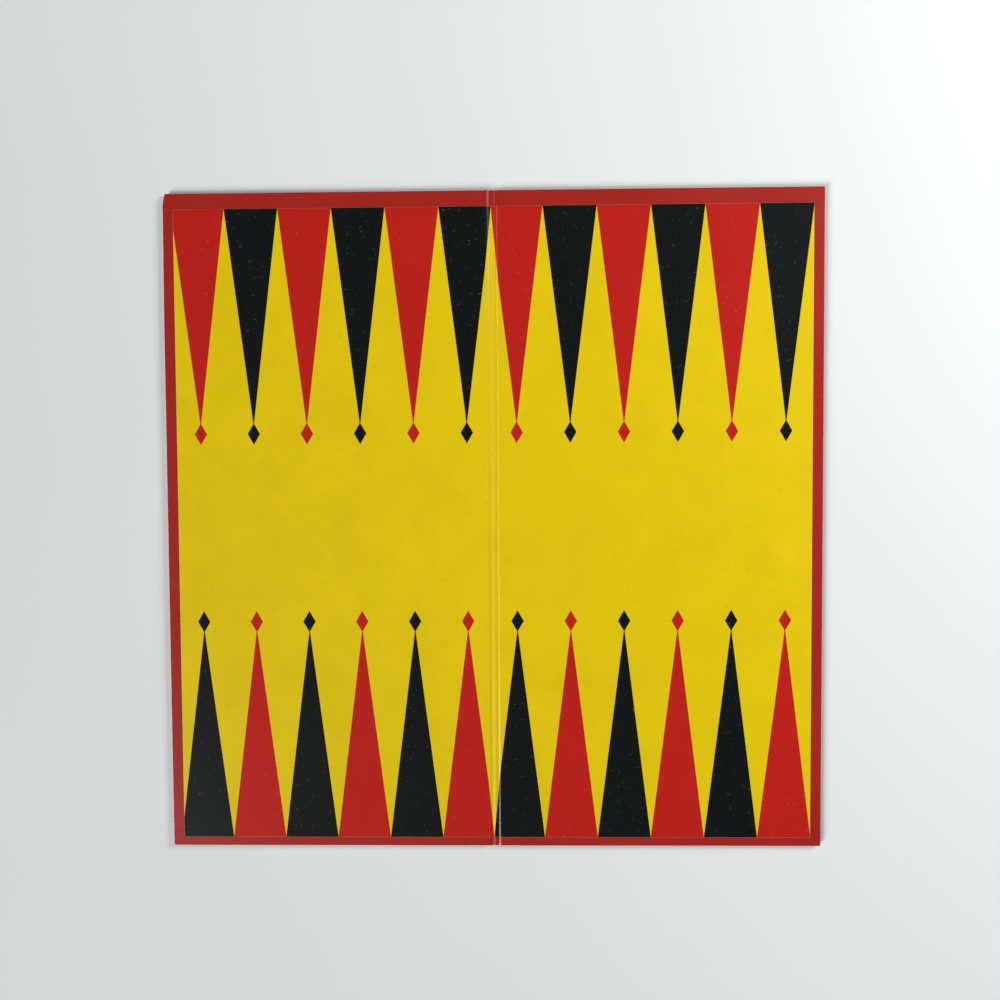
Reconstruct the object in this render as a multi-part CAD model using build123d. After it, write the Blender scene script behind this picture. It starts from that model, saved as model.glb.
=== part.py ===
from build123d import *
import math
import os

# A folding backgammon board of wrapped chipboard, lying open with its playing face up.
# Lengths are millimetres. +X is to the right, +Y to the far side, +Z up from the table.
# The origin is on the table, under the middle of the fold.

# The open board, over its paper
board_width = 471.0
board_depth = 472.0

# What it is laminated from, as thicknesses from the table up
wrap_paper = 0.2
hinge_cloth = 0.3
chipboard = 2.6
face_paper = 0.2
ink_film = 0.05

# How far the wrap paper is turned in over the panels, and how its folded edges are rounded
turn_in = 16.0
edge_round = 0.3

# How far the hinge cloth reaches under each panel, past the fold
cloth_wing = 22.0

# The fold: space left between the playing faces when the board is shut, the rounding of
# each panel's inner edge, and the paper that dips between them as two creases and a ridge
shut_clearance = 0.3
shoulder_radius = 1.8
shoulder_angle = 33.0
crease_from_middle = 2.5
ridge_depth = 0.35

# The red border that the face sheet leaves on each side
border_left = 7.8
border_right = 7.6
border_far = 11.2
border_near = 6.3

# The print: twelve points in a row, each with a diamond on its tip. The fold takes up some of
# the sheet, so the halves of the print lie nearer to each other than they were printed.
points_in_row = 12
point_pitch = 38.35
point_height_far = 155.1
point_height_near = 153.0
diamond_width = 8.9
diamond_height = 15.4
tip_overlap = 2.4
print_shift = -0.7
fold_take_up = 2.7

# Levels above the table
panel_top = wrap_paper + chipboard
cloth_top = wrap_paper + hinge_cloth
face_top = panel_top + face_paper
ink_top = face_top + ink_film

# The panels turn about the top of the cloth, so the gap takes both their heights above it
fold_gap = 2 * (ink_top - cloth_top) + shut_clearance
half_gap = fold_gap / 2
half_width = board_width / 2
half_depth = board_depth / 2

# Places in the fold's cross-section
shoulder_x = half_gap + shoulder_radius
shoulder_z = panel_top - shoulder_radius
shoulder_turn = math.radians(shoulder_angle)

# The face sheet's edges
face_left_x = -half_width + border_left
face_right_x = half_width - border_right
face_far_y = half_depth - border_far
face_near_y = -half_depth + border_near

# Where the shoulder's line was on the sheet before it was pressed into the fold
printed_shoulder_x = shoulder_x + fold_take_up / 2


def block(low, high):
    """A box between two corners."""
    size = [b - a for a, b in zip(low, high)]
    return Pos(*low) * Box(*size, align=(Align.MIN, Align.MIN, Align.MIN))


def along_y(edges, y_from, y_to):
    """A solid whose cross-section, drawn at y = 0, runs from y_from to y_to."""
    section = Face(Wire(edges))
    return Pos(0, y_from, 0) * extrude(section, amount=y_to - y_from, dir=(0, 1, 0))


def line(start, end):
    """A straight edge between two (x, z) points of a cross-section."""
    return Edge.make_line((start[0], 0, start[1]), (end[0], 0, end[1]))


def arc(start, middle, end):
    """A round edge through three (x, z) points of a cross-section."""
    places = [(x, 0, z) for x, z in (start, middle, end)]
    return Edge.make_three_point_arc(*places)


def on_shoulder(offset, turn):
    """The (x, z) point at a height over the chipboard, turned down round the right shoulder."""
    radius = shoulder_radius + offset
    return (shoulder_x - radius * math.sin(turn), shoulder_z + radius * math.cos(turn))


def panel_layer(lower, upper, x_edge, y_from, y_to):
    """A sheet on the right panel, rolled over its shoulder, between two heights over the chipboard."""
    start_low = (x_edge, panel_top + lower)
    start_high = (x_edge, panel_top + upper)
    flat_low = on_shoulder(lower, 0)
    flat_high = on_shoulder(upper, 0)
    end_low = on_shoulder(lower, shoulder_turn)
    end_high = on_shoulder(upper, shoulder_turn)
    edges = [
        line(start_low, start_high),
        line(start_high, flat_high),
        arc(flat_high, on_shoulder(upper, shoulder_turn / 2), end_high),
        line(end_high, end_low),
        arc(end_low, on_shoulder(lower, shoulder_turn / 2), flat_low),
        line(flat_low, start_low),
    ]
    return along_y(edges, y_from, y_to)


def panel_block(bottom, x_edge, y_from, y_to):
    """The right panel's full height from a level up, with its inner top edge rounded."""
    foot = (half_gap, bottom)
    far_foot = (x_edge, bottom)
    far_top = (x_edge, panel_top)
    edges = [
        line(foot, far_foot),
        line(far_foot, far_top),
        line(far_top, on_shoulder(0, 0)),
        arc(on_shoulder(0, 0), on_shoulder(0, math.pi / 4), on_shoulder(0, math.pi / 2)),
        line(on_shoulder(0, math.pi / 2), foot),
    ]
    return along_y(edges, y_from, y_to)


def fold_path(offset):
    """The right half of the dipping paper: where it leaves the shoulder, its crease, its ridge."""
    leaves = on_shoulder(offset, shoulder_turn)
    crease_z = leaves[1] - math.tan(shoulder_turn) * (leaves[0] - crease_from_middle)
    return leaves, (crease_from_middle, crease_z), (0, panel_top - ridge_depth + offset)


def fold_edges(offset):
    """The dipping paper's line from the left shoulder to the right one, as three edges."""
    leaves, crease, ridge = fold_path(offset)
    left_leaves = (-leaves[0], leaves[1])
    left_crease = (-crease[0], crease[1])
    return [line(left_leaves, left_crease), arc(left_crease, ridge, crease), line(crease, leaves)]


def fold_layer(lower, upper, y_from, y_to):
    """A sheet that dips between the panels, between two heights over the chipboard."""
    low = on_shoulder(lower, shoulder_turn)
    high = on_shoulder(upper, shoulder_turn)
    ends = [line(high, low), line((-high[0], high[1]), (-low[0], low[1]))]
    return along_y(fold_edges(lower) + fold_edges(upper) + ends, y_from, y_to)


def left_of(solid):
    """The same piece on the left panel."""
    return mirror(solid, about=Plane.YZ)


def wrapped_panel():
    """The right panel's wrap paper: its back, three folded edges and three turned-in flaps."""
    flap_depth = wrap_paper + turn_in
    back = block((half_gap, -half_depth, 0), (half_width, half_depth, wrap_paper))
    outer_edge = block((half_width - wrap_paper, -half_depth, 0), (half_width, half_depth, panel_top))
    outer_flap = block(
        (half_width - flap_depth, -half_depth, panel_top - wrap_paper),
        (half_width, half_depth, panel_top),
    )
    paper = back + outer_edge + outer_flap
    for y_from, y_to, y_flap in (
        (half_depth - wrap_paper, half_depth, half_depth - flap_depth),
        (-half_depth, -half_depth + wrap_paper, -half_depth),
    ):
        paper += panel_block(0, half_width, y_from, y_to)
        paper += panel_layer(-wrap_paper, 0, half_width, y_flap, y_flap + flap_depth)
    return (paper & rounded_panel()).solid()


def rounded_panel():
    """The right panel's outer shape, with every edge rounded that the paper is folded over."""
    whole = panel_block(0, half_width, -half_depth, half_depth)
    near = wrap_paper / 10
    folded = [edge for edge in whole.edges() if edge.bounding_box().max.X > shoulder_x + near]
    return fillet(folded, edge_round)


def fold_tabs():
    """The wrap paper's two tabs at the fold's ends, turned up and in between the panels' flaps."""
    flap_depth = wrap_paper + turn_in
    tabs = []
    for side in (1, -1):
        outer_y = side * half_depth
        inner_y = side * (half_depth - flap_depth)
        wall_y = side * (half_depth - wrap_paper)
        tab = fold_layer(-wrap_paper, 0, min(inner_y, outer_y), max(inner_y, outer_y))
        leaves = on_shoulder(-wrap_paper, shoulder_turn)
        sides = [
            line((-leaves[0], leaves[1]), (-leaves[0], wrap_paper)),
            line((-leaves[0], wrap_paper), (leaves[0], wrap_paper)),
            line((leaves[0], wrap_paper), leaves),
        ]
        wall = along_y(fold_edges(-wrap_paper) + sides, min(wall_y, outer_y), max(wall_y, outer_y))
        room = block((-half_gap, -half_depth, 0), (half_gap, half_depth, panel_top))
        tabs.append((tab + (wall & room)).solid())
    return tabs


def laid(x):
    """Where a line that was printed at x lies across the board."""
    if abs(x) < printed_shoulder_x:
        return x * shoulder_x / printed_shoulder_x
    return x - math.copysign(fold_take_up / 2, x)


def point_side(base, tip):
    """One side of a point up to its tip, with a corner more where the fold bends it."""
    corners = [(laid(base[0]), base[1])]
    for bend_x in (-printed_shoulder_x, printed_shoulder_x):
        share = (bend_x - base[0]) / (tip[0] - base[0])
        if 0 < share < 1:
            corners.append((laid(bend_x), base[1] + share * (tip[1] - base[1])))
    return corners


def point_outline(number, row):
    """One point of the print with its diamond; row is 1 at the far side and -1 at the near side."""
    printed_middle = print_shift + (number - (points_in_row - 1) / 2) * point_pitch
    middle = laid(printed_middle)
    base_y = face_far_y if row > 0 else face_near_y
    tip_y = base_y - row * (point_height_far if row > 0 else point_height_near)
    diamond_y = tip_y + row * tip_overlap
    tip = (printed_middle, tip_y)
    left_side = point_side((printed_middle - point_pitch / 2, base_y), tip)
    right_side = point_side((printed_middle + point_pitch / 2, base_y), tip)
    triangle = Polygon(*right_side, (middle, tip_y), *reversed(left_side), align=None)
    diamond = Polygon(
        (middle, diamond_y),
        (middle + diamond_width / 2, diamond_y - row * diamond_height / 2),
        (middle, diamond_y - row * diamond_height),
        (middle - diamond_width / 2, diamond_y - row * diamond_height / 2),
        align=None,
    )
    return triangle + diamond


def printed(layer, colour, row, first, last):
    """The ink of one colour and one row on a layer, for the points numbered first to last."""
    films = []
    for number in range(first, last + 1):
        is_red = (number % 2 == 0) == (row > 0)
        if is_red == (colour == "red"):
            column = extrude(point_outline(number, row), amount=2 * ink_top, dir=(0, 0, 1))
            films += (layer & column).solids()
    return films


def keep(name, shape):
    """Write one node, made of one solid or of several."""
    solids = shape if isinstance(shape, list) else shape.solids()
    whole = solids[0] if len(solids) == 1 else Compound(children=list(solids))
    export_step(whole, f"parts/{name}.step")


os.makedirs("parts", exist_ok=True)

# Wrap paper, one sheet over the backs, the fold and all the edges
tabs = fold_tabs()
wrap_right = wrapped_panel()
for tab in tabs:
    wrap_right -= tab
keep("wrap_right", wrap_right)
keep("wrap_left", left_of(wrap_right))
keep("wrap_fold", block((-half_gap, -half_depth, 0), (half_gap, half_depth, wrap_paper)))
keep("wrap_fold_tabs", tabs)

# Hinge cloth, one strip glued under both panels and across the fold
cloth_y = half_depth - wrap_paper
wing_right = block((half_gap, -cloth_y, wrap_paper), (half_gap + cloth_wing, cloth_y, cloth_top))
keep("hinge_cloth_right", wing_right)
keep("hinge_cloth_left", left_of(wing_right))
keep("hinge_cloth_fold", block((-half_gap, -cloth_y, wrap_paper), (half_gap, cloth_y, cloth_top)))

# Chipboard panels, pressed down where the cloth and the turned-in paper lie on them
core_right = panel_block(wrap_paper, half_width - wrap_paper, -cloth_y, cloth_y)
core_right = (core_right & rounded_panel()) - wrap_right - wing_right
for tab in tabs:
    core_right -= tab
keep("core_right", core_right)
keep("core_left", left_of(core_right))

# Face sheet, one printed sheet over both panels and down into the fold
face_right = panel_layer(0, face_paper, face_right_x, face_near_y, face_far_y)
face_left = left_of(panel_layer(0, face_paper, -face_left_x, face_near_y, face_far_y))
keep("face_right", face_right)
keep("face_left", face_left)
keep("face_fold", fold_layer(0, face_paper, face_near_y, face_far_y))

# Ink, by panel, row and colour
ink_limits = (face_paper, face_paper + ink_film)
ink_right = panel_layer(*ink_limits, face_right_x, face_near_y, face_far_y)
ink_left = left_of(panel_layer(*ink_limits, -face_left_x, face_near_y, face_far_y))
ink_fold = fold_layer(*ink_limits, face_near_y, face_far_y)
last_number = points_in_row - 1
for colour in ("red", "black"):
    for row_name, row in (("far", 1), ("near", -1)):
        for side_name, layer in (("left", ink_left), ("right", ink_right)):
            films = printed(layer, colour, row, 0, last_number)
            keep(f"points_{colour}_{row_name}_{side_name}", films)
    both_rows = printed(ink_fold, colour, 1, 0, last_number) + printed(ink_fold, colour, -1, 0, last_number)
    keep(f"points_{colour}_fold", both_rows)

print(f"fold gap {fold_gap:.2f} mm, panel thickness {ink_top:.2f} mm")
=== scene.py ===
import math

import bmesh
import bpy
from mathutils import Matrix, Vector, noise


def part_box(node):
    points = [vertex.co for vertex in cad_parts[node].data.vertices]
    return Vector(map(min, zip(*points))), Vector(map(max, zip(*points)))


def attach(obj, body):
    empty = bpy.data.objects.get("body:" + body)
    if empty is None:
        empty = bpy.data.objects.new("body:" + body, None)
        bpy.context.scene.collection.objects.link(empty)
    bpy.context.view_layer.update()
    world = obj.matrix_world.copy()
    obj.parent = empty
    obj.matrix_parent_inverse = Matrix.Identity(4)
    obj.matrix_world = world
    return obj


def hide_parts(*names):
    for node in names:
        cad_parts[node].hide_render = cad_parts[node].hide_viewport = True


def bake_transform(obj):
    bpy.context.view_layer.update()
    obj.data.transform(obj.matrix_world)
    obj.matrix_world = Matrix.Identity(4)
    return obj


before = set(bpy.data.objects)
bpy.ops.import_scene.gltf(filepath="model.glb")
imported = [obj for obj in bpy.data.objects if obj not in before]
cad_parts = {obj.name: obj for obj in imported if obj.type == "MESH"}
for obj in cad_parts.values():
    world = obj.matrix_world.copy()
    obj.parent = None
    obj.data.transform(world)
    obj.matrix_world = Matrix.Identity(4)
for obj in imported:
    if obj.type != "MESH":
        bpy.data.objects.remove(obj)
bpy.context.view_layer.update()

# Chipboard panels. Grey board pressed from waste paper, cut square and laid a fold's width
# apart. They are wholly wrapped, so only their pressed grey surface could ever show.


def linear(hex_colour):
    """A linear colour with full alpha from an sRGB hex value."""
    channels = [int(hex_colour[i : i + 2], 16) / 255 for i in (1, 3, 5)]
    bright = [c / 12.92 if c <= 0.04045 else ((c + 0.055) / 1.055) ** 2.4 for c in channels]
    return (*bright, 1.0)


def add(tree, kind, settings=None, **sockets):
    """A node with its settings; each socket, by its name or _number, is filled or linked.

    It takes a number, a hex colour, a socket, or a node, whose first output in use is linked.
    """
    made = tree.nodes.new(kind)
    for name, value in (settings or {}).items():
        setattr(made, name, value)
    for name, value in sockets.items():
        wanted = name.replace("_", " ").lower()
        found = [s for s in made.inputs if s.enabled and s.name.lower() == wanted]
        socket = found[0] if found else made.inputs[int(name[1:])]
        if isinstance(value, bpy.types.Node):
            value = next(s for s in value.outputs if s.enabled)
        if isinstance(value, bpy.types.NodeSocket):
            tree.links.new(value, socket)
        elif isinstance(value, str):
            socket.default_value = linear(value)
        else:
            socket.default_value = value
    return made


def surface(name):
    """An empty material and its tree."""
    material = bpy.data.materials.new(name)
    material.use_nodes = True
    material.node_tree.nodes.clear()
    return material, material.node_tree


def finish(tree, colour, height, depth, roughness):
    """The end of a material's tree: its colour, how uneven it is and how rough."""
    bumps = add(tree, "ShaderNodeBump", Height=height, Distance=depth)
    shader = add(
        tree,
        "ShaderNodeBsdfPrincipled",
        Base_Color=colour,
        Normal=bumps,
        Roughness=roughness,
        IOR=refraction,
    )
    add(tree, "ShaderNodeOutputMaterial", Surface=shader)


def dress(node, material):
    """A CAD node with its finish."""
    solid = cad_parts[node]
    solid.data.materials.clear()
    solid.data.materials.append(material)


MM = 0.001

# paper fibre, starch, ink, varnish and paint all bend light about alike
refraction = 1.5
chipboard_grey = "#8d857a"
chipboard_fleck = "#6d665c"
fibre_clump = 1.5 * MM
fibre_height = 0.03 * MM
colours = {"data_type": "RGBA"}

# dull grey, mottled by clumps of darker fibre
chipboard, tree = surface("grey_chipboard")
place = add(tree, "ShaderNodeTexCoord").outputs["Object"]
fibres = add(tree, "ShaderNodeTexNoise", Vector=place, Scale=1 / fibre_clump, Detail=4.0)
flecks = add(
    tree,
    "ShaderNodeMix",
    colours,
    Factor=fibres,
    A=chipboard_grey,
    B=chipboard_fleck,
)
finish(tree, flecks, fibres, fibre_height, 0.9)
dress("core_right", chipboard)

# Hinge cloth. A strip of black starched book cloth, glued under both panels and across the
# fold. Plain weave, about 20 threads to the centimetre, hidden between board and paper.
cloth_black = "#1b1a19"
cloth_thread = "#34312e"
thread_spacing = 0.5 * MM
thread_height = 0.08 * MM
wave_units = math.pi / 10
larger = {"operation": "MAXIMUM"}

# dull black, with the tops of the threads a little greyer
cloth, tree = surface("book_cloth")
place = add(tree, "ShaderNodeTexCoord").outputs["Object"]
threads = []
for direction in ("X", "Y"):
    wave = add(
        tree,
        "ShaderNodeTexWave",
        {"bands_direction": direction},
        Vector=place,
        Scale=wave_units / thread_spacing,
    )
    threads.append(wave.outputs["Fac"])
weave = add(tree, "ShaderNodeMath", larger, _0=threads[0], _1=threads[1])
thread_tone = add(tree, "ShaderNodeMix", colours, Factor=weave, A=cloth_black, B=cloth_thread)
finish(tree, thread_tone, weave, thread_height, 0.85)
for node in ("hinge_cloth_left", "hinge_cloth_fold", "hinge_cloth_right"):
    dress(node, cloth)

# Wrap paper. One red sheet glued over both backs, folded up round the edges and turned in over
# the face, with its corners lapped. It covers the fold's back, and its tabs dip into the fold.
wrap_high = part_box("wrap_right")[1]
board_x = wrap_high.x
board_y = wrap_high.y
panel_top = wrap_high.z
cloth_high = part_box("hinge_cloth_fold")[1]
half_gap = cloth_high.x
cloth_top = cloth_high.z
wrap_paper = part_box("wrap_fold")[1].z
turn_in = 16.2 * MM
corner_round = 0.8 * MM
edge_round = 0.35 * MM
round_faces = 4
corner_faces = 6

# The paper across the fold leaves each panel round a pressed shoulder, dips to a crease and
# rises to a low ridge in the middle.
shoulder_radius = 1.8 * MM
shoulder_turn = math.radians(33)
crease_x = 2.5 * MM
ridge_depth = 0.35 * MM
ridge_shift = 0.8 * MM
shoulder_x = half_gap + shoulder_radius
relief_height = 0.1 * MM
relief_span = 70 * MM
fill_mean = 0.18
fill_swing = 0.12
fill_span = 40 * MM


def fold_height(x, offset):
    """The height of a sheet that lies offset above the chipboard, at a place across the fold."""
    across = abs(x)
    radius = shoulder_radius + offset
    centre_z = panel_top - shoulder_radius
    leaves_x = shoulder_x - radius * math.sin(shoulder_turn)
    leaves_z = centre_z + radius * math.cos(shoulder_turn)
    crease_z = leaves_z - math.tan(shoulder_turn) * (leaves_x - crease_x)
    ridge_z = panel_top + offset - ridge_depth
    if across >= shoulder_x:
        return panel_top + offset
    if across >= leaves_x:
        return centre_z + math.sqrt(radius**2 - (shoulder_x - across) ** 2)
    if across >= crease_x:
        return crease_z + math.tan(shoulder_turn) * (across - crease_x)
    rise = (1 + math.cos(math.pi * across / crease_x)) / 2
    return crease_z + (ridge_z - crease_z) * rise


def relief(x, y):
    """How far the glued papers lie under their full height, from slight waves in the board."""
    wave = noise.noise(Vector((x / relief_span, y / relief_span, 0.7)))
    return relief_height * (0.5 + 0.5 * wave)


def crease_fill(y):
    """How much shallower than its full depth the fold is pressed at a place along it."""
    return fill_mean + fill_swing * noise.noise(Vector((3.3, y / fill_span, 0.2)))


def top_height(x, y, offset):
    """The height of the top of a sheet on the face of the board."""
    full = panel_top + offset
    towards_ridge = max(0.0, 1 - (x / shoulder_x) ** 2)
    dip = full - fold_height(x - ridge_shift * towards_ridge, offset)
    return full - dip * (1 - crease_fill(y)) - relief(x, y)


# The far and near flaps are folded last, over the ends of the side flaps. Their ends are cut
# slanting, and on the left half's far corner the end is drawn in from the board's edge.
lap_reach = {1: 10.2 * MM, -1: 9.0 * MM}
lap_slant = 0.2
lap_step = 0.1 * MM
lap_paper = 0.12 * MM
lap_draw_in = 2.0 * MM
edge_draw_in = 0.5 * MM
edge_recovery = 80 * MM
edge_reach = 3 * MM
lap_room = 4 * MM
lap_margin = 1 * MM


def lap_line(row, x):
    """Where the end of the far flap (row 1) or the near flap (row -1) lies, at a place across."""
    return row * (board_y - lap_reach[row] - lap_slant * (board_x - x))


def lap_height(x, y, on_lap):
    """How much higher a flap is where it lies over another."""
    row = 1 if y > 0 else -1
    if x < board_x - turn_in or not on_lap:
        return 0.0
    whole = lap_reach[row] + lap_slant * (board_x - x)
    return lap_paper * min(1.0, max(0.0, (board_y - abs(y)) / whole))


def drawn_in(x, y):
    """How far the left half's outer edge is drawn in, at a place beside it."""
    at_edge = max(0.0, 1 - (board_x - abs(x)) / edge_reach)
    past_lap = board_y - y - lap_reach[1]
    if past_lap < lap_step / 2:
        return -at_edge * lap_draw_in * past_lap / lap_reach[1]
    return at_edge * edge_draw_in * max(0.0, 1 - past_lap / edge_recovery)


# The sheets are made of four-sided faces: narrow ones on these lines across the fold, so that
# they bend smoothly, and square ones elsewhere.
fold_steps = [x * MM for x in (0, 0.35, 0.7, 1.05, 1.4, 1.75, 2.1, 2.35, 2.5, 2.65, 2.9, 3.2, 3.5)]
fold_steps += [x * MM for x in (3.75, 4.0, 4.25, 4.5, 4.8)]
crease_reach = 0.45 * MM
grid_size = 6 * MM
same_line = 0.01 * MM
same_point = 0.004 * MM
touching = 1e-7
sharp_turn = math.radians(40)


def steps(start, end, size):
    """Evenly spaced values from start to end, about size apart."""
    count = max(1, round(abs(end - start) / size))
    return [start + (end - start) * i / count for i in range(count + 1)]


def merged(*lists):
    """The values of several lists in order, each once."""
    found = []
    for value in sorted(v for values in lists for v in values):
        if not found or value - found[-1] > same_line:
            found.append(value)
    return found


def laid_flat(mesh):
    """Keep where each point of a sheet lies while the board is open, for its pattern to follow."""
    places = mesh.attributes.new("laid_flat", "FLOAT_VECTOR", "POINT")
    for point, kept in zip(mesh.vertices, places.data):
        kept.vector = point.co


def piece(name, bm, materials):
    """An object from a finished bmesh, smooth within each material, with its flat places kept."""
    bmesh.ops.remove_doubles(bm, verts=bm.verts, dist=same_point)
    bmesh.ops.recalc_face_normals(bm, faces=bm.faces)
    mesh = bpy.data.meshes.new(name)
    bm.to_mesh(mesh)
    bm.free()
    for material in materials:
        mesh.materials.append(material)
    mesh.shade_smooth()
    mesh.set_sharp_from_angle(angle=sharp_turn)
    edge_material = {}
    for face in mesh.polygons:
        for edge in face.edge_keys:
            edge_material.setdefault(edge, set()).add(face.material_index)
    sharp = mesh.attributes.get("sharp_edge")
    if not sharp:
        sharp = mesh.attributes.new("sharp_edge", "BOOLEAN", "EDGE")
    for edge, kept in zip(mesh.edges, sharp.data):
        kept.value = kept.value or len(edge_material[edge.key]) > 1
    laid_flat(mesh)
    made = bpy.data.objects.new(name, mesh)
    bpy.context.scene.collection.objects.link(made)
    return made


def cut(bm, axis, place, drop=None):
    """Cut a flat sheet along a line; drop is the side that is thrown away, +1 or -1."""
    point = Vector((place, 0, 0)) if axis == "x" else Vector((0, place, 0))
    normal = Vector((1, 0, 0)) if axis == "x" else Vector((0, 1, 0))
    bmesh.ops.bisect_plane(
        bm,
        geom=bm.verts[:] + bm.edges[:] + bm.faces[:],
        dist=touching,
        plane_co=point,
        plane_no=normal,
        clear_outer=drop == 1,
        clear_inner=drop == -1,
    )


def grid_faces(bm, xs, ys, place, wanted=lambda x, y: True):
    """A sheet of four-sided faces over lines of x and y, for the cells that are wanted."""
    points = {}

    def point(i, j):
        if (i, j) not in points:
            points[i, j] = bm.verts.new(place(xs[i], ys[j]))
        return points[i, j]

    for i in range(len(xs) - 1):
        for j in range(len(ys) - 1):
            if wanted((xs[i] + xs[i + 1]) / 2, (ys[j] + ys[j + 1]) / 2):
                bm.faces.new((point(i, j), point(i + 1, j), point(i + 1, j + 1), point(i, j + 1)))


def wrap_skin(side):
    """The outside of the wrap paper on one half, from the middle of the fold out to its edges."""
    bm = bmesh.new()
    inner_x = board_x - corner_round
    inner_y = board_y - corner_round
    bend_lines = [half_gap - crease_reach, half_gap + crease_reach]
    xs = merged(fold_steps, bend_lines, steps(grid_size, inner_x, grid_size))
    xs = merged(xs, [board_x - turn_in])
    ys = merged(steps(-inner_y, inner_y, grid_size), [turn_in - board_y, board_y - turn_in])
    for row, reach in lap_reach.items():
        line = row * (board_y - reach)
        ys = [y for y in ys if not -lap_margin < (line - y) * row < lap_room]
        ys = merged(ys, [line, line - row * lap_step])
    lap_lines = {row * (board_y - reach): row for row, reach in lap_reach.items()}
    foot_lines = {line - row * lap_step: row for line, row in lap_lines.items()}

    def flap_point(x, y):
        """The place and height of a flap's point, with the ends of the laps slanting."""
        row = lap_lines.get(y, foot_lines.get(y))
        on_lap = abs(y) > board_y - lap_reach[1 if y > 0 else -1] - lap_step / 2
        if row and x > board_x - turn_in - same_line:
            moved = lap_line(row, x) + y - row * (board_y - lap_reach[row])
        else:
            moved = y
        return x, moved, top_height(side * x, moved, 0.0) + lap_height(x, moved, on_lap)

    def in_flap(x, y):
        return x > board_x - turn_in or abs(y) > board_y - turn_in

    grid_faces(bm, xs, ys, lambda x, y: (x, y, 0.0))
    grid_faces(bm, xs, ys, flap_point, in_flap)

    # the paper's path round an edge, as (distance in from the edge, height), from back to face
    quarter = [math.pi / 2 * i / round_faces for i in range(round_faces + 1)]
    bottom = [(edge_round * (1 - math.sin(a)), edge_round * (1 - math.cos(a))) for a in quarter]
    path = [(corner_round, 0.0), *bottom, (0.0, cloth_top)]
    path += [(inward, panel_top - down) for down, inward in bottom]
    path += [(corner_round, panel_top)]

    # the outline, as (place inside the rounded corner, direction out)
    turn = [math.pi / 2 * i / corner_faces for i in range(corner_faces + 1)]
    outline = [((x, -inner_y), (0, -1)) for x in xs]
    outline += [((inner_x, -inner_y), (math.sin(a), -math.cos(a))) for a in turn]
    outline += [((inner_x, y), (1, 0)) for y in ys]
    outline += [((inner_x, inner_y), (math.cos(a), math.sin(a))) for a in turn]
    outline += [((x, inner_y), (0, 1)) for x in reversed(xs)]
    rings = []
    for (x, y), (out_x, out_y) in outline:
        ring = []
        for inward, height in path:
            reach = corner_round - inward
            point = Vector((x, y, height))
            if height > cloth_top:
                point = Vector(flap_point(x, y)) + Vector((0, 0, height - panel_top))
            ring.append(bm.verts.new(point + reach * Vector((out_x, out_y, 0))))
        rings.append(ring)
    for ring, following in zip(rings, rings[1:]):
        for k in range(len(path) - 1):
            lower = (following[k].co - ring[k].co).length
            upper = (following[k + 1].co - ring[k + 1].co).length
            if max(lower, upper) > touching:
                bm.faces.new((ring[k], following[k], following[k + 1], ring[k + 1]))
    if side < 0:
        for point in bm.verts:
            point.co.x = drawn_in(point.co.x, point.co.y) - point.co.x
    bmesh.ops.remove_doubles(bm, verts=bm.verts, dist=same_point)
    bmesh.ops.dissolve_degenerate(bm, edges=bm.edges, dist=same_point)
    bmesh.ops.recalc_face_normals(bm, faces=bm.faces)
    back = [f for f in bm.faces if f.calc_center_median().z < same_line]
    if back[0].normal.z > 0:
        bmesh.ops.reverse_faces(bm, faces=bm.faces)
    return bm


def scratches(tree, place, spacing, half_width, most):
    """Short scratches: the straight edges of cells, kept only in small scattered spots."""
    cells = add(
        tree,
        "ShaderNodeTexVoronoi",
        {"feature": "DISTANCE_TO_EDGE"},
        Vector=place,
        Scale=1 / spacing,
    )
    line = add(
        tree,
        "ShaderNodeMapRange",
        Value=cells,
        From_Max=half_width / spacing,
        To_Min=1.0,
        To_Max=0.0,
    )
    patches = add(
        tree,
        "ShaderNodeTexNoise",
        Vector=place,
        Scale=2 / spacing,
        Detail=3.0,
        Roughness=0.7,
    )
    spots = add(
        tree,
        "ShaderNodeMapRange",
        Value=patches,
        From_Min=0.58,
        From_Max=0.7,
        To_Max=most,
    )
    return add(tree, "ShaderNodeMath", times, _0=line, _1=spots)


wrap_red = "#ac261d"
wrap_red_deep = "#9a1b13"
wrap_scuff = "#cf9a8e"
wrap_cloud = 60 * MM
wrap_scratch_spacing = 12 * MM
wrap_scratch_half = 0.14 * MM
rub_size = 3 * MM
edge_band = 0.9 * MM
times = {"operation": "MULTIPLY"}
unsigned = {"operation": "ABSOLUTE"}
flat_place = {"attribute_name": "laid_flat"}

# the tooth of real litho paper is near 0.05 mm; it is drawn coarser, so that it shows
paper_tooth = 0.35 * MM
tooth_height = 0.008 * MM

# satin red with faint clouds and scratches, and pale rubbed spots along the board's edges
wrap_litho, tree = surface("varnished_wrap_paper")
place = add(tree, "ShaderNodeAttribute", flat_place).outputs["Vector"]
clouds = add(tree, "ShaderNodeTexNoise", Vector=place, Scale=1 / wrap_cloud, Detail=5.0)
tone = add(tree, "ShaderNodeMix", colours, Factor=clouds, A=wrap_red, B=wrap_red_deep)
apart = add(tree, "ShaderNodeSeparateXYZ", Vector=place)
near_edge = 0.0
for axis, edge in (("X", board_x), ("Y", board_y)):
    off = add(tree, "ShaderNodeMath", unsigned, _0=apart.outputs[axis])
    band = add(
        tree,
        "ShaderNodeMapRange",
        Value=off,
        From_Min=edge - edge_band,
        From_Max=edge,
    )
    near_edge = add(tree, "ShaderNodeMath", larger, _0=near_edge, _1=band)
rubs = add(
    tree,
    "ShaderNodeTexNoise",
    Vector=place,
    Scale=1 / rub_size,
    Detail=6.0,
    Roughness=0.7,
)
rubbed = add(
    tree,
    "ShaderNodeMapRange",
    Value=rubs,
    From_Min=0.56,
    From_Max=0.76,
    To_Max=0.6,
)
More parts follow.
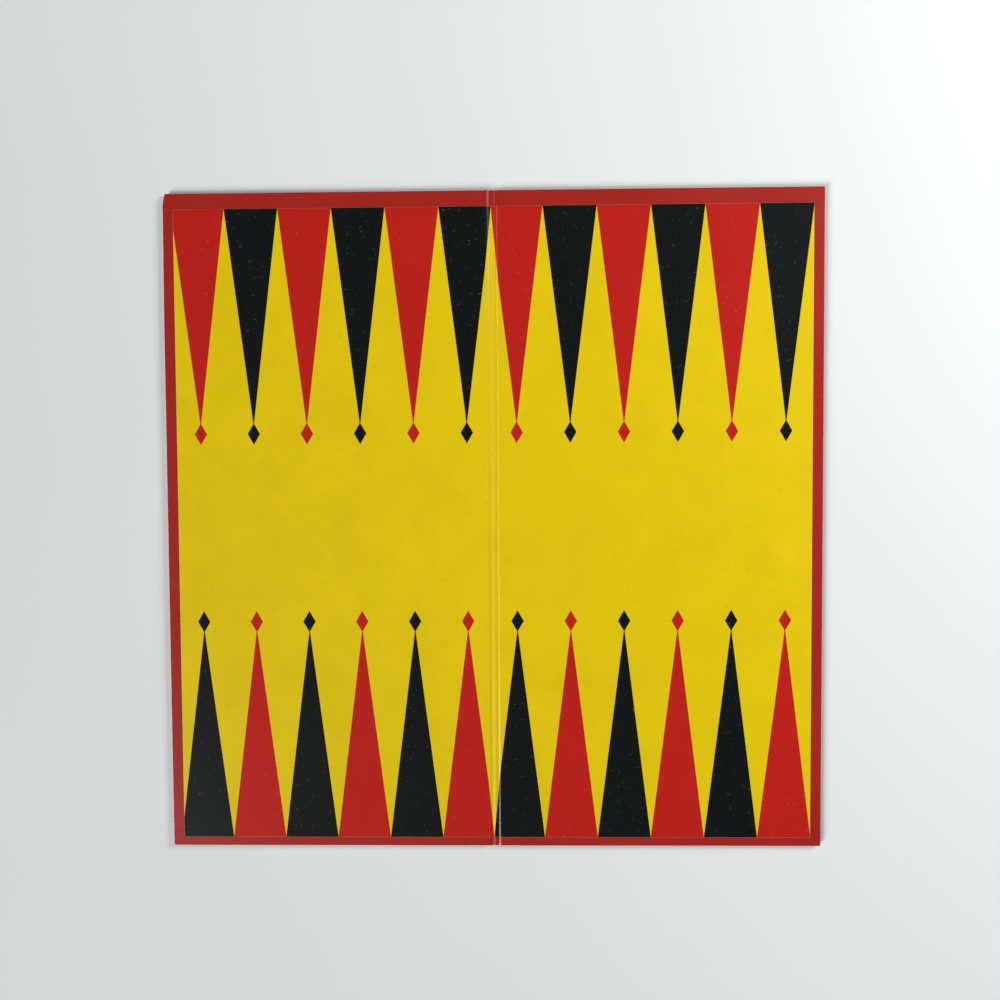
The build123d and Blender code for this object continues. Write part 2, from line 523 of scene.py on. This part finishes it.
edge_wear = add(tree, "ShaderNodeMath", times, _0=near_edge, _1=rubbed)
scratched = scratches(tree, place, wrap_scratch_spacing, wrap_scratch_half, 0.2)
marks = add(tree, "ShaderNodeMath", larger, _0=edge_wear, _1=scratched)
worn = add(tree, "ShaderNodeMix", colours, Factor=marks, A=tone, B=wrap_scuff)
tooth = add(tree, "ShaderNodeTexNoise", Vector=place, Scale=1 / paper_tooth, Detail=3.0)
dulled = add(
    tree,
    "ShaderNodeMapRange",
    Value=rubs,
    From_Min=0.3,
    From_Max=0.7,
    To_Min=0.28,
    To_Max=0.36,
)
finish(tree, worn, tooth, tooth_height, dulled)

# the left panel follows the paper where its far corner is drawn in
panel = bmesh.new()
panel.from_mesh(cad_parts["core_left"].data)
lap_y = board_y - lap_reach[1]
for y in (lap_y, lap_y - lap_step, lap_y - edge_recovery):
    cut(panel, "y", y)
cut(panel, "x", edge_reach - board_x)
for point in panel.verts:
    point.co.x += drawn_in(point.co.x, point.co.y)
left_panel = piece("left_panel", panel, [chipboard])
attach(left_panel, "left_half")
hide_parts("core_left")


def in_tabs(face):
    """Whether a face of the wrap is on the tabs that dip into the fold."""
    centre = face.calc_center_median()
    return abs(centre.x) < shoulder_x and centre.z > cloth_top


def bend_at_crease(made, side):
    """Bake a piece's placement into its mesh, the same for either half; nothing is bent at the
    crease.
    """
    if side > 0:
        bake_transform(made)
    else:
        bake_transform(made)


for side_name, side in (("left", -1), ("right", 1)):
    skin = wrap_skin(side)
    tabs = skin.copy()
    bmesh.ops.delete(skin, geom=[f for f in skin.faces if in_tabs(f)], context="FACES")
    bmesh.ops.delete(tabs, geom=[f for f in tabs.faces if not in_tabs(f)], context="FACES")
    for bm in (skin, tabs):
        bmesh.ops.solidify(bm, geom=bm.faces[:], thickness=wrap_paper)
    wrap = piece(f"wrap_paper_{side_name}", skin, [wrap_litho])
    fold_tabs = piece(f"wrap_tabs_{side_name}", tabs, [wrap_litho])
    bend_at_crease(wrap, side)
    bend_at_crease(fold_tabs, side)
    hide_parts(f"wrap_{side_name}", "wrap_fold")
    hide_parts("wrap_fold_tabs")

# Face sheet. Yellow varnished litho paper, glued inside the red border and across the fold,
# where it is pressed down as a pair of creases. Its cut edges show the white of the paper.
face_low, face_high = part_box("face_right")
face_paper = face_high.z - panel_top
face_far_y = face_high.y
face_near_y = face_low.y
face_edge_x = {-1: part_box("face_left")[0].x, 1: face_high.x}
cut_edge = 0.1 * MM
cut_drop = 0.07 * MM

yellow = "#e9cb00"
yellow_shade = "#dec100"
# the bright yellow of the lines along the fold: partly worn varnish, partly a painted highlight of
# the lit shoulder
yellow_wear_and_highlight = "#f6e04a"
smudge = "#c2a414"
yellow_cloud = 45 * MM
smudge_size = 5 * MM
face_scratch_spacing = 11 * MM
face_scratch_half = 0.2 * MM
face_wear_and_highlight_size = 14 * MM
# lines along the fold, as (place across, half width, strength): partly wear, partly painted
# highlight; the strongest, on the right shoulder, paints the light on that wall
face_wear_and_highlight = ((3.9 * MM, 0.5 * MM, 0.8), (-4.1 * MM, 0.5 * MM, 0.3), (0.1 * MM, 0.6 * MM, 0.3))


def worn_lines(tree, place, lines, wander_size):
    """Lines along the fold, as (place across, half width, strength): rubbed ink or varnish, and on
    the face sheet also a painted highlight.
    """
    across = add(tree, "ShaderNodeSeparateXYZ", Vector=place)
    patches = add(
        tree,
        "ShaderNodeTexNoise",
        Vector=place,
        Scale=1 / wander_size,
        Detail=6.0,
        Roughness=0.75,
    )
    wander = add(tree, "ShaderNodeMapRange", Value=patches, From_Min=0.32, From_Max=0.62)
    most = 0.0
    for line_x, half_width, strength in lines:
        offset = add(tree, "ShaderNodeMath", {"operation": "SUBTRACT"}, _0=across, _1=line_x)
        off = add(tree, "ShaderNodeMath", unsigned, _0=offset)
        line = add(
            tree,
            "ShaderNodeMapRange",
            Value=off,
            From_Max=half_width,
            To_Min=strength,
            To_Max=0.0,
        )
        most = add(tree, "ShaderNodeMath", larger, _0=most, _1=line)
    return add(tree, "ShaderNodeMath", times, _0=most, _1=wander)


# satin yellow, unevenly yellowed, with grimy smudges, and paler lines along the creases that are
# partly worn varnish and partly a painted highlight, strongest on the right shoulder's wall that
# faces the light
face_litho, tree = surface("varnished_litho_paper")
place = add(tree, "ShaderNodeAttribute", flat_place).outputs["Vector"]
clouds = add(
    tree,
    "ShaderNodeTexNoise",
    Vector=place,
    Scale=1 / yellow_cloud,
    Detail=8.0,
    Roughness=0.68,
)
cloudy = add(tree, "ShaderNodeMapRange", Value=clouds, From_Min=0.28, From_Max=0.72)
tone = add(tree, "ShaderNodeMix", colours, Factor=cloudy, A=yellow, B=yellow_shade)
grime = add(
    tree,
    "ShaderNodeTexNoise",
    Vector=place,
    Scale=1 / smudge_size,
    Detail=5.0,
    Roughness=0.75,
)
dirty = add(
    tree,
    "ShaderNodeMapRange",
    Value=grime,
    From_Min=0.6,
    From_Max=0.75,
    To_Max=0.5,
)
scratched = scratches(tree, place, face_scratch_spacing, face_scratch_half, 0.4)
marks = add(tree, "ShaderNodeMath", larger, _0=dirty, _1=scratched)
smudged = add(tree, "ShaderNodeMix", colours, Factor=marks, A=tone, B=smudge)
# paler lines along the fold: worn varnish, with a painted highlight on the right shoulder
rubbed = worn_lines(tree, place, face_wear_and_highlight, face_wear_and_highlight_size)
worn = add(tree, "ShaderNodeMix", colours, Factor=rubbed, A=smudged, B=yellow_wear_and_highlight)
tooth = add(tree, "ShaderNodeTexNoise", Vector=place, Scale=1 / paper_tooth, Detail=3.0)
finish(tree, worn, tooth, tooth_height, 0.3)

paper_white = "#d8cdb0"
paper_aged = "#b9a884"
fuzz_size = 0.3 * MM
fuzz_height = 0.02 * MM

# a dull, off-white line where the sheet is cut, with the fuzz of its fibres
raw_paper, tree = surface("cut_edge_of_paper")
place = add(tree, "ShaderNodeAttribute", flat_place).outputs["Vector"]
fuzz = add(tree, "ShaderNodeTexNoise", Vector=place, Scale=1 / fuzz_size, Detail=2.0)
dusty = add(tree, "ShaderNodeMix", colours, Factor=fuzz, A=paper_white, B=paper_aged)
finish(tree, dusty, fuzz, fuzz_height, 0.9)


def face_sheet(side):
    """The face sheet on one half, from the middle of the fold to its cut edge."""
    bm = bmesh.new()
    edge_x = face_edge_x[side]
    xs = merged([side * x for x in fold_steps], steps(side * grid_size, edge_x, grid_size))
    xs = merged(xs, [edge_x - side * cut_edge])
    ys = steps(face_near_y, face_far_y, grid_size)
    ys = merged(ys, [face_near_y + cut_edge, face_far_y - cut_edge])

    def from_edge(x, y):
        return min(abs(x - edge_x), abs(y - face_far_y), abs(y - face_near_y))

    def top(x, y):
        return top_height(x, y, face_paper) - (cut_drop if from_edge(x, y) < touching else 0.0)

    grid_faces(bm, xs, ys, lambda x, y: (x, y, top(x, y)))
    for face in bm.faces:
        centre = face.calc_center_median()
        face.material_index = 1 if from_edge(centre.x, centre.y) < cut_edge else 0
    upper = set(bm.faces)
    grid_faces(bm, xs, ys, lambda x, y: (x, y, top_height(x, y, 0.0)))
    lower = [f for f in bm.faces if f not in upper]
    bmesh.ops.reverse_faces(bm, faces=lower)
    rim = [e for e in bm.edges if e.is_boundary]
    bridged = bmesh.ops.bridge_loops(bm, edges=rim)
    for face in bridged["faces"]:
        face.material_index = 1
    return bm


for side_name, side in (("left", -1), ("right", 1)):
    sheet = piece(f"face_sheet_{side_name}", face_sheet(side), [face_litho, raw_paper])
    bend_at_crease(sheet, side)
    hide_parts(f"face_{side_name}", "face_fold")

# Print. Red and black litho ink on the yellow, under the same varnish: two rows of points,
# each with a diamond on its tip, in colours that change over from point to point.
point_count = 12
point_pitch = 38.35 * MM
point_height = {1: 155.1 * MM, -1: 153.0 * MM}
diamond_width = 8.9 * MM
diamond_height = 15.4 * MM
tip_overlap = 2.4 * MM
print_shift = -0.7 * MM
fold_take_up = 2.7 * MM
ink_film = 0.03 * MM
ink_sink = 0.03 * MM
same_print = 0.002 * MM
printed_shoulder_x = shoulder_x + fold_take_up / 2


def laid(x):
    """Where a line that was printed at x lies, once the fold has taken up some of the sheet."""
    if abs(x) < printed_shoulder_x:
        return x * shoulder_x / printed_shoulder_x
    return x - math.copysign(fold_take_up / 2, x)


def printed_at(x):
    """Where a line that lies at x was on the sheet when it was printed."""
    if abs(x) < shoulder_x:
        return x * printed_shoulder_x / shoulder_x
    return x + math.copysign(fold_take_up / 2, x)


ink_cloud = 45 * MM
ink_wear_size = 9 * MM
ink_wear = ((3.7 * MM, 0.7 * MM, 1.0), (-3.9 * MM, 0.45 * MM, 0.5))
speck_size = 1.5 * MM
speck_area = 30 * MM
ink_scratch_spacing = 7 * MM
ink_scratch_half = 0.16 * MM


def ink_surface(name, colour, shade, bare, cracked, scratch):
    """Printed ink with cloudy density, specks of lost ink and worn lines at the fold."""
    material, tree = surface(name)
    place = add(tree, "ShaderNodeAttribute", flat_place).outputs["Vector"]
    clouds = add(tree, "ShaderNodeTexNoise", Vector=place, Scale=1 / ink_cloud, Detail=6.0)
    tone = add(tree, "ShaderNodeMix", colours, Factor=clouds, A=colour, B=shade)
    rubbed = worn_lines(tree, place, ink_wear, ink_wear_size)
    cracks = add(tree, "ShaderNodeMix", colours, Factor=rubbed, A=tone, B=cracked)
    dots = add(tree, "ShaderNodeTexNoise", Vector=place, Scale=1 / speck_size, Detail=2.0)
    pinholes = add(tree, "ShaderNodeMapRange", Value=dots, From_Min=0.7, From_Max=0.76)
    spread = add(tree, "ShaderNodeTexNoise", Vector=place, Scale=1 / speck_area, Detail=2.0)
    areas = add(
        tree,
        "ShaderNodeMapRange",
        Value=spread,
        From_Min=0.47,
        From_Max=0.64,
        To_Max=0.5,
    )
    specks = add(tree, "ShaderNodeMath", times, _0=pinholes, _1=areas)
    scratched = scratches(tree, place, ink_scratch_spacing, ink_scratch_half, scratch)
    lost = add(tree, "ShaderNodeMath", larger, _0=specks, _1=scratched)
    speckled = add(tree, "ShaderNodeMix", colours, Factor=lost, A=cracks, B=bare)
    tooth = add(tree, "ShaderNodeTexNoise", Vector=place, Scale=1 / paper_tooth, Detail=3.0)
    finish(tree, speckled, tooth, tooth_height, 0.28)
    return material


# deep, even ink with a satin sheen; lost ink shows as pale specks, pinkish in the red
inks = {
    "red": ink_surface("red_litho_ink", "#c21e15", "#b61911", "#d8ab98", "#d6554a", 0.2),
    "black": ink_surface("black_litho_ink", "#080e10", "#050909", "#8f938c", "#41413f", 0.5),
}


def point_shape(height):
    """One point with its diamond, pointing up from its base at the origin."""
    bm = bmesh.new()
    tip = height - tip_overlap
    slope = point_pitch / 2 / height
    rise = diamond_width / diamond_height
    neck = (slope * height + rise * tip) / (rise + slope)
    neck_x = (neck - tip) * rise
    outline = [
        (-point_pitch / 2, 0),
        (point_pitch / 2, 0),
        (neck_x, neck),
        (diamond_width / 2, tip + diamond_height / 2),
        (0, tip + diamond_height),
        (-diamond_width / 2, tip + diamond_height / 2),
        (-neck_x, neck),
    ]
    points = [bm.verts.new((x, y, 0)) for x, y in outline]
    bm.faces.new((points[0], points[1], points[2], points[6]))
    bm.faces.new(points[2:])
    mesh = bpy.data.meshes.new("one_point")
    bm.to_mesh(mesh)
    bm.free()
    return mesh


def row_tree():
    """Geometry nodes that repeat a shape along X and give it one ink."""
    tree = bpy.data.node_groups.new("printed_row", "GeometryNodeTree")
    for name, kind, way in (
        ("Geometry", "NodeSocketGeometry", "INPUT"),
        ("Count", "NodeSocketInt", "INPUT"),
        ("Start", "NodeSocketVector", "INPUT"),
        ("Step", "NodeSocketVector", "INPUT"),
        ("Turn", "NodeSocketVector", "INPUT"),
        ("Ink", "NodeSocketMaterial", "INPUT"),
        ("Geometry", "NodeSocketGeometry", "OUTPUT"),
    ):
        tree.interface.new_socket(name, in_out=way, socket_type=kind)
    given = tree.nodes.new("NodeGroupInput")
    line = add(
        tree,
        "GeometryNodeMeshLine",
        {"mode": "OFFSET"},
        Count=given.outputs["Count"],
        Start_Location=given.outputs["Start"],
        Offset=given.outputs["Step"],
    )
    placed = add(
        tree,
        "GeometryNodeInstanceOnPoints",
        Points=line,
        Instance=given.outputs["Geometry"],
        Rotation=given.outputs["Turn"],
    )
    real = add(tree, "GeometryNodeRealizeInstances", Geometry=placed)
    inked = add(
        tree,
        "GeometryNodeSetMaterial",
        Geometry=real,
        Material=given.outputs["Ink"],
    )
    add(tree, "NodeGroupOutput", Geometry=inked)
    return tree


def printed_row(tree, ink, first, row):
    """The flat outlines of every other point of one row, starting with the one numbered first."""
    holder = bpy.data.objects.new("row", point_shape(point_height[row]))
    bpy.context.scene.collection.objects.link(holder)
    repeat = holder.modifiers.new("row", "NODES")
    repeat.node_group = tree
    start_x = print_shift + (first - (point_count - 1) / 2) * point_pitch
    values = {
        "Count": point_count // 2,
        "Start": (start_x, face_far_y if row > 0 else face_near_y, 0.0),
        "Step": (2 * point_pitch, 0.0, 0.0),
        "Turn": (0.0, 0.0, math.pi if row > 0 else 0.0),
        "Ink": ink,
    }
    for item in tree.interface.items_tree:
        if item.in_out == "INPUT" and item.name in values:
            repeat[item.identifier] = values[item.name]
    bpy.context.view_layer.update()
    evaluated = holder.evaluated_get(bpy.context.evaluated_depsgraph_get())
    mesh = bpy.data.meshes.new_from_object(evaluated)
    bpy.data.objects.remove(holder)
    return mesh


def ink_layer(colour, side):
    """The thin film of one ink on one half: cut to the sheet, laid in the fold, and closed."""
    edge_x = face_edge_x[side]
    bm = bmesh.new()
    for row in (1, -1):
        # seen from the near side, the far row starts with red and the near row with black
        first = 0 if (row > 0) == (colour == "red") else 1
        bm.from_mesh(printed_row(repeat_points, inks[colour], first, row))
    cut(bm, "x", 0.0, drop=-side)
    cut(bm, "x", printed_at(edge_x - side * cut_edge), drop=side)
    cut(bm, "y", face_far_y - cut_edge, drop=1)
    cut(bm, "y", face_near_y + cut_edge, drop=-1)
    across_fold = [side * x for x in fold_steps[1:]]
    for x in merged(across_fold, steps(side * grid_size, edge_x, grid_size)):
        cut(bm, "x", printed_at(x))
    for y in steps(face_near_y, face_far_y, grid_size):
        cut(bm, "y", y)
    bmesh.ops.remove_doubles(bm, verts=bm.verts, dist=same_print)
    rims = [edge for edge in bm.edges if edge.is_boundary]
    upper = bm.verts[:]
    copied = bmesh.ops.duplicate(bm, geom=bm.faces[:])["vert_map"]
    for point in upper:
        point.co.x = laid(point.co.x)
        under = copied[point]
        paper_z = top_height(point.co.x, point.co.y, face_paper)
        under.co = (point.co.x, point.co.y, paper_z - ink_sink)
        point.co.z = paper_z + ink_film
    for edge in rims:
        a, b = edge.verts
        bm.faces.new((a, b, copied[b], copied[a]))
    return bm


repeat_points = row_tree()
for side_name, side in (("left", -1), ("right", 1)):
    for colour, ink in inks.items():
        film = piece(f"ink_{colour}_{side_name}", ink_layer(colour, side), [ink])
        bend_at_crease(film, side)
        points = [f"points_{colour}_{row_name}_{side_name}" for row_name in ("far", "near")]
        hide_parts(*points, f"points_{colour}_fold")

# Floor, light and camera. A pale floor, a broad light from low on the near left, which draws
# the fold and the paper's edges, and a smaller one on the right that lifts the right half.
floor_reach = 5.0
floor_z = -0.1 * MM
floor_pale = "#e6eaea"
floor_shade = "#e2e6e6"
floor_cloud = 300 * MM
floor_height = 0.02 * MM

signs = ((-1, -1), (1, -1), (1, 1), (-1, 1))
corners = [(x * floor_reach, y * floor_reach, floor_z) for x, y in signs]
floor_mesh = bpy.data.meshes.new("floor")
floor_mesh.from_pydata(corners, [], [(0, 1, 2, 3)])
floor = bpy.data.objects.new("floor", floor_mesh)
bpy.context.scene.collection.objects.link(floor)

# matt paint, almost even
floor_paint, tree = surface("pale_floor")
place = add(tree, "ShaderNodeTexCoord").outputs["Object"]
faint = add(tree, "ShaderNodeTexNoise", Vector=place, Scale=1 / floor_cloud, Detail=2.0)
pale = add(tree, "ShaderNodeMix", colours, Factor=faint, A=floor_pale, B=floor_shade)
finish(tree, pale, faint, floor_height, 0.7)
floor_mesh.materials.append(floor_paint)

# the world lights the board weakly, and shows the camera a pale backdrop
world_light = 0.11
backdrop = 0.72
world = bpy.data.worlds.new("studio")
bpy.context.scene.world = world
world.use_nodes = True
sky = world.node_tree
sky.nodes.clear()
seen = add(sky, "ShaderNodeLightPath").outputs["Is Camera Ray"]
strength = add(sky, "ShaderNodeMapRange", Value=seen, To_Min=world_light, To_Max=backdrop)
glow = add(sky, "ShaderNodeBackground", Color="#ffffff", Strength=strength)
add(sky, "ShaderNodeOutputWorld", Surface=glow)


def aim(name, lamp, place):
    """Put a light at a place, turned to the middle of the board."""
    holder = bpy.data.objects.new(name, lamp)
    holder.location = place
    holder.rotation_euler = Vector(place).to_track_quat("Z", "Y").to_euler()
    bpy.context.scene.collection.objects.link(holder)


window = bpy.data.lights.new("window", "SUN")
window.energy = 3.7
window.angle = math.radians(28)
aim("window", window, (-2.75, -2.45, 1.8))

fill = bpy.data.lights.new("fill", "AREA")
fill.shape = "SQUARE"
fill.size = 0.6
fill.energy = 25.5
aim("fill", fill, (1.45, 0.75, 0.75))

camera = bpy.data.cameras.new("camera")
camera.sensor_width = 36.0
camera.lens = 30.6
camera.clip_start = 0.01
viewer = bpy.data.objects.new("camera", camera)
viewer.rotation_mode = "ZYX"
viewer.location = (0.01569, 0.03761, 0.61278)
viewer.rotation_euler = (math.radians(-2.028), math.radians(1.007), math.radians(-0.299))
bpy.context.scene.collection.objects.link(viewer)
bpy.context.scene.camera = viewer
bpy.context.scene.view_settings.view_transform = "Standard"
